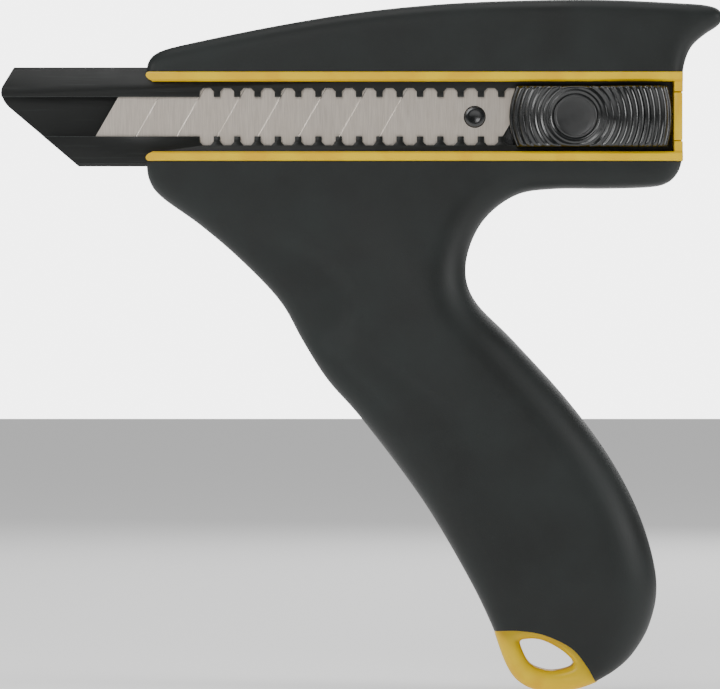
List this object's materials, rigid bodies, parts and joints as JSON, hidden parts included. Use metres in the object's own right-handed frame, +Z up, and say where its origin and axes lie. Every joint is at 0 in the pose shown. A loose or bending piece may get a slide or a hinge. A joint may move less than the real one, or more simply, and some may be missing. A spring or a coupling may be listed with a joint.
{
  "type": "pistol-grip snap-off blade cutter",
  "caption": "Hand cutter with a pistol grip: a snap-off blade slides in a notched steel channel and locks, worked by a ribbed thumb pad. Lanyard loop at the butt.",
  "frame": {"origin": "bottom centre of the bounding box: under the middle of the length, on the parting plane of the two halves, at the lowest point of the lanyard loop", "axes": "+Z up, with the barrel level and the grip hanging down as the tool is held; +X from the muzzle to the back of the barrel, so the blade leaves along -X; -Y is the side with the thumb slide, +Y the closed side"},
  "size_m": [0.1954, 0.029, 0.1877],
  "materials": {
    "yellow_abs": "moulded ABS, satin gloss",
    "elastomer": "soft-touch moulded elastomer, matt",
    "blacked_steel": "folded sheet steel, black coating, low sheen",
    "blade_steel": "hardened strip, satin ground",
    "spring_steel": "tempered strip, bright",
    "black_nylon": "moulded nylon, semi-matt",
    "zinc_steel": "zinc plated"
  },
  "bodies": {
    "handle": {"near_core": "yellow_abs", "far_core": "yellow_abs", "spine_cover": "elastomer", "grip_cover": "elastomer", "back_cover": "elastomer", "lanyard_loop": "yellow_abs", "blade_channel": "blacked_steel", "channel_screw_1": "zinc_steel", "channel_screw_2": "zinc_steel", "channel_screw_3": "zinc_steel", "case_screw_spine_front": "zinc_steel", "case_screw_spine_rear": "zinc_steel", "case_screw_nose": "zinc_steel", "case_screw_web": "zinc_steel", "case_screw_grip": "zinc_steel", "case_screw_butt": "zinc_steel"},
    "slide": {"slide_carriage": "black_nylon", "blade_peg": "black_nylon", "blade": "blade_steel", "thumb_pad": "black_nylon", "lock_spring": "spring_steel", "slide_screw_1": "zinc_steel", "slide_screw_2": "zinc_steel"},
    "button": {"lock_button": "black_nylon"},
    "stop": {"rear_stop": "yellow_abs"}
  },
  "joints": [
    {"name": "blade_slide", "type": "slide", "parent": "handle", "child": "slide", "axis": [-1, 0, 0], "range_m": [0, 0.077], "deforming": ["lock_spring"]},
    {"name": "button_press", "type": "slide", "parent": "slide", "child": "button", "axis": [0, 1, 0], "range_m": [0, 0.0012], "stiffness_N_per_m": 400, "springref_m": -0.0008, "deforming": ["lock_spring"]},
    {"name": "rear_stop_pull", "type": "slide", "parent": "handle", "child": "stop", "axis": [1, 0, 0], "range_m": [0, 0.012]}
  ]
}
